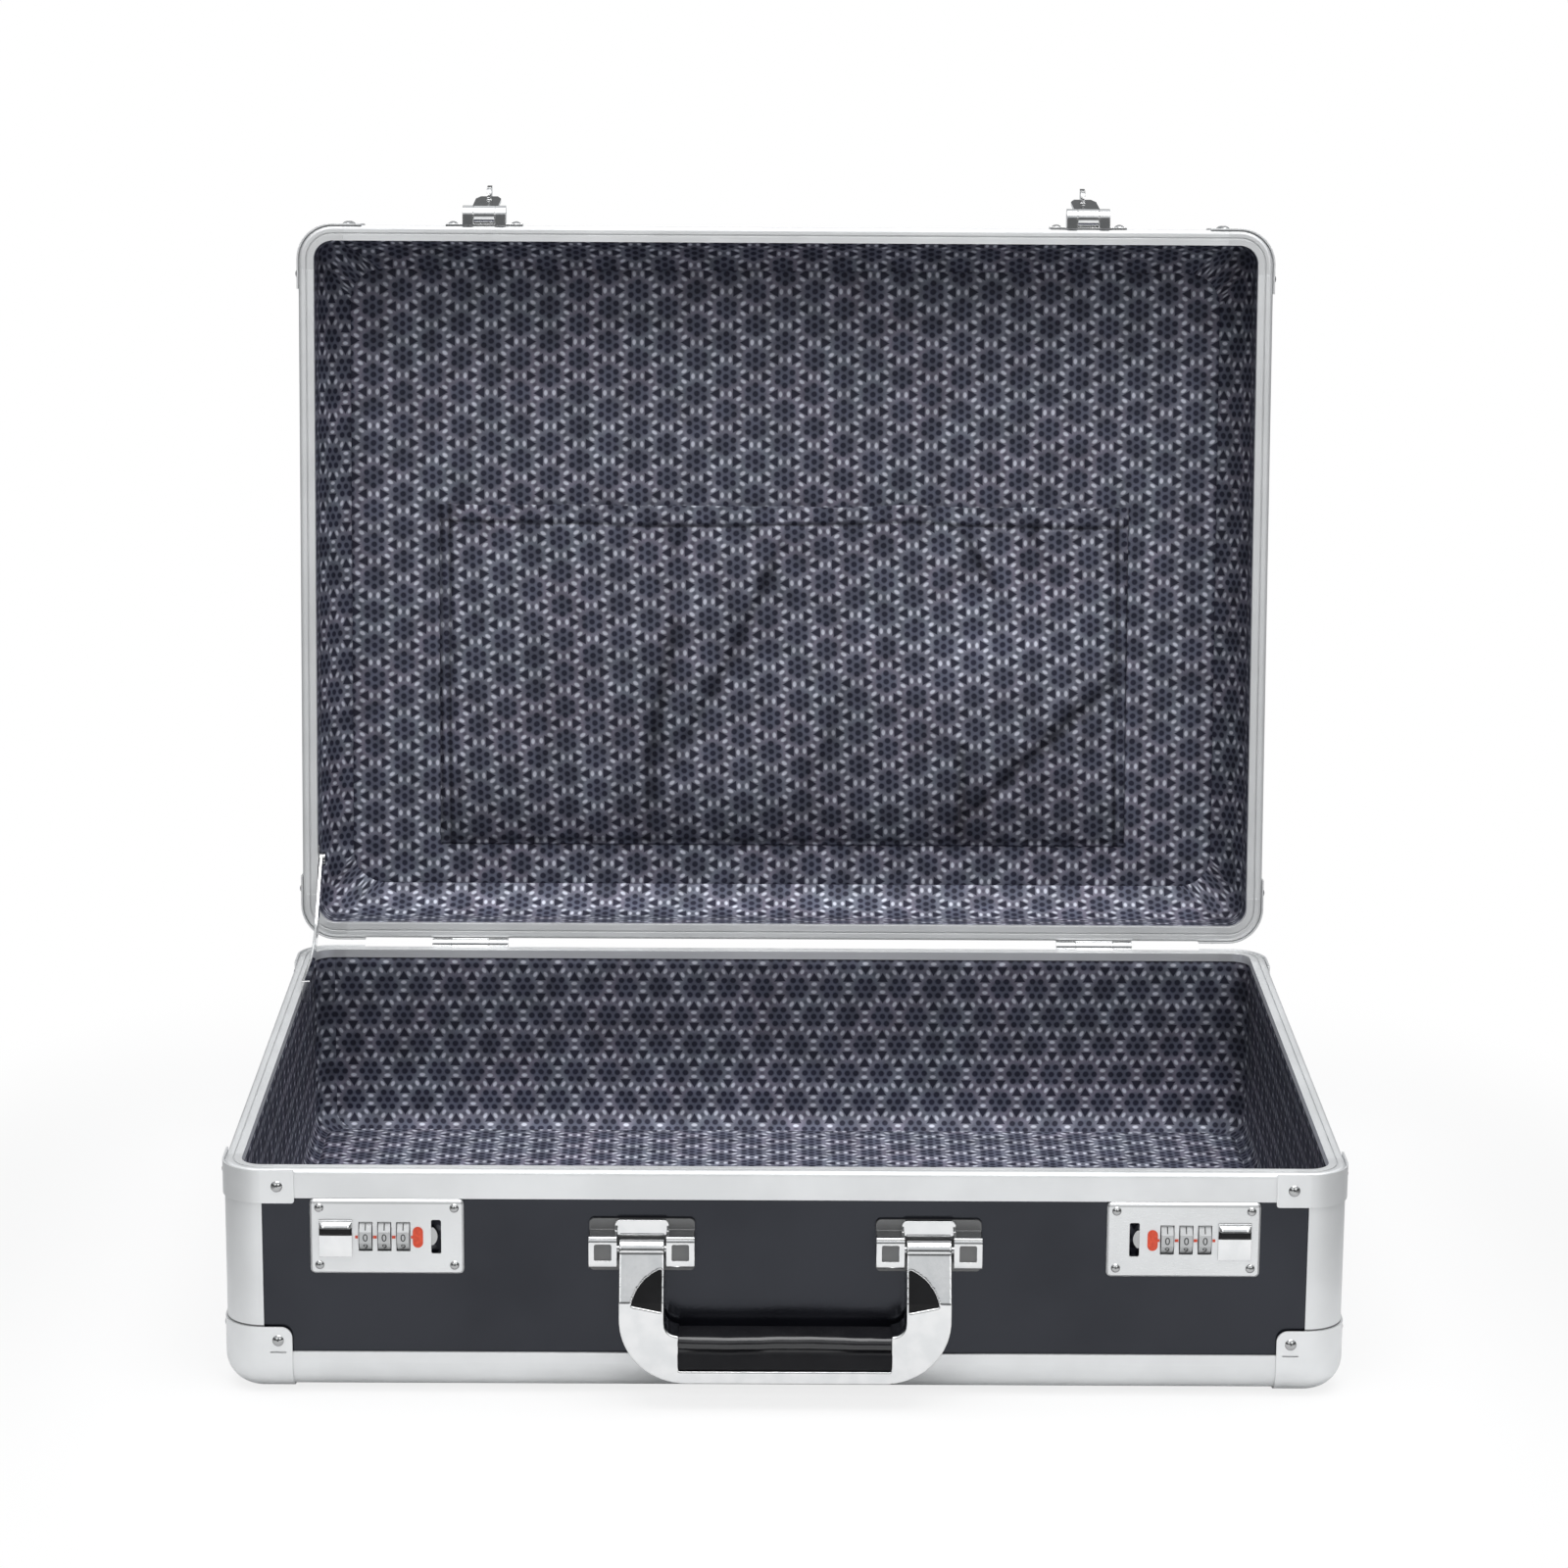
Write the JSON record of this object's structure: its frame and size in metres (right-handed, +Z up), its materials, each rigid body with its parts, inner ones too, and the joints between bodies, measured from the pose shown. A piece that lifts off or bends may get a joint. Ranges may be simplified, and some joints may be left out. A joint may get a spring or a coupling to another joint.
{
  "type": "aluminium attache case",
  "caption": "Open attache case with aluminium edges, a hinged lid with sprung hasps, combination locks, a folding handle and a lined interior.",
  "frame": {"origin": "on the floor, under the middle of the opened case from the handle's front to the lid's back", "axes": "+X to the case's right as seen from the front, +Y to its rear, +Z up; the lid stands open"},
  "size_m": [0.462, 0.447, 0.4491],
  "materials": {
    "aluminium": "satin anodised extrusion",
    "corner_metal": "satin pressed sheet",
    "panel": "finely textured charcoal",
    "lining": "woven lining with a printed grid of dots",
    "rivet_steel": "bright domed heads",
    "bright_metal": "polished plating",
    "steel": "plain zinc plated steel",
    "dial": "plated number wheels",
    "red_mark": "red enamel",
    "black_plastic": "semi gloss"
  },
  "bodies": {
    "base": {"base_bottom_panel": "panel", "base_front_panel": "panel", "base_rear_panel": "panel", "base_side_panels": "panel", "base_rims_long": "aluminium", "base_rims_short": "aluminium", "base_edges_long": "aluminium", "base_edges_short": "aluminium", "base_corner_posts": "aluminium", "base_rim_brackets": "corner_metal", "base_corner_caps": "corner_metal", "base_rivets": "rivet_steel", "base_lining": "lining", "lock_plate_left": "bright_metal", "lock_plate_right": "bright_metal", "lock_case_left": "steel", "lock_case_right": "steel", "dial_axles": "steel", "reading_marks": "red_mark", "button_spring_left": "steel", "button_spring_right": "steel", "handle_mounts": "bright_metal", "handle_pins": "steel", "hinge_base_leaves": "steel", "hinge_pins": "steel"},
    "lid": {"lid_top_panel": "panel", "lid_front_panel": "panel", "lid_rear_panel": "panel", "lid_side_panels": "panel", "lid_rims_long": "aluminium", "lid_rims_short": "aluminium", "lid_edges_long": "aluminium", "lid_edges_short": "aluminium", "lid_corner_posts": "aluminium", "lid_rim_brackets": "corner_metal", "lid_corner_caps": "corner_metal", "lid_rivets": "rivet_steel", "lid_lining": "lining", "lid_pocket": "lining", "hinge_lid_leaves": "steel", "hasp_leaves": "bright_metal", "hasp_pins": "steel", "hasp_springs": "steel", "stay_bracket": "steel"},
    "hasp_left": {"hasp_flap_left": "bright_metal"},
    "hasp_right": {"hasp_flap_right": "bright_metal"},
    "handle": {"handle_frame": "bright_metal", "handle_grip": "black_plastic", "handle_inserts": "black_plastic"},
    "slide_left": {"slide_button_left": "bright_metal", "latch_slide_left": "steel"},
    "slide_right": {"slide_button_right": "bright_metal", "latch_slide_right": "steel"},
    "stay": {"stay_arm": "steel"},
    "dial_1_left": {"dial_1_left": "dial"},
    "dial_2_left": {"dial_2_left": "dial"},
    "dial_3_left": {"dial_3_left": "dial"},
    "dial_1_right": {"dial_1_right": "dial"},
    "dial_2_right": {"dial_2_right": "dial"},
    "dial_3_right": {"dial_3_right": "dial"}
  },
  "joints": [
    {"name": "lid_hinge", "type": "hinge", "parent": "base", "child": "lid", "pos_m": [0, 0.1356, 0.0962], "axis": [1, 0, 0], "range_deg": [0, 96.5]},
    {"name": "stay_hinge", "type": "hinge", "parent": "lid", "child": "stay", "pos_m": [-0.22065, 0.14882, 0.13445], "axis": [-1, 0, 0], "range_deg": [0, 108.08]},
    {"name": "handle_hinge", "type": "hinge", "parent": "base", "child": "handle", "pos_m": [0, -0.2107, 0.065], "axis": [-1, 0, 0], "range_deg": [0, 100]},
    {"name": "hasp_left_hinge", "type": "hinge", "parent": "lid", "child": "hasp_left", "pos_m": [-0.1418, 0.17948, 0.43894], "axis": [1, 0, 0], "range_deg": [0, 172], "stiffness_Nm_per_rad": 0.004, "springref_deg": -17.19},
    {"name": "slide_left_travel", "type": "slide", "parent": "base", "child": "slide_left", "axis": [-1, 0, 0], "range_m": [0, 0.003], "stiffness_N_per_m": 300, "springref_m": -0.002, "deforming": ["button_spring_left"]},
    {"name": "dial_1_left_spin", "type": "hinge", "parent": "base", "child": "dial_1_left", "pos_m": [-0.15515, -0.2002, 0.068], "axis": [1, 0, 0], "continuous": true},
    {"name": "dial_2_left_spin", "type": "hinge", "parent": "base", "child": "dial_2_left", "pos_m": [-0.1628, -0.2002, 0.068], "axis": [1, 0, 0], "continuous": true},
    {"name": "dial_3_left_spin", "type": "hinge", "parent": "base", "child": "dial_3_left", "pos_m": [-0.17045, -0.2002, 0.068], "axis": [1, 0, 0], "continuous": true},
    {"name": "hasp_right_hinge", "type": "hinge", "parent": "lid", "child": "hasp_right", "pos_m": [0.1418, 0.17948, 0.43894], "axis": [1, 0, 0], "range_deg": [0, 172], "stiffness_Nm_per_rad": 0.004, "springref_deg": -17.19},
    {"name": "slide_right_travel", "type": "slide", "parent": "base", "child": "slide_right", "axis": [1, 0, 0], "range_m": [0, 0.003], "stiffness_N_per_m": 300, "springref_m": -0.002, "deforming": ["button_spring_right"]},
    {"name": "dial_1_right_spin", "type": "hinge", "parent": "base", "child": "dial_1_right", "pos_m": [0.15515, -0.2002, 0.068], "axis": [1, 0, 0], "continuous": true},
    {"name": "dial_2_right_spin", "type": "hinge", "parent": "base", "child": "dial_2_right", "pos_m": [0.1628, -0.2002, 0.068], "axis": [1, 0, 0], "continuous": true},
    {"name": "dial_3_right_spin", "type": "hinge", "parent": "base", "child": "dial_3_right", "pos_m": [0.17045, -0.2002, 0.068], "axis": [1, 0, 0], "continuous": true}
  ],
  "couplings": [
    {"joint": "stay_hinge", "follows": "lid_hinge", "ratio": 1.12}
  ]
}
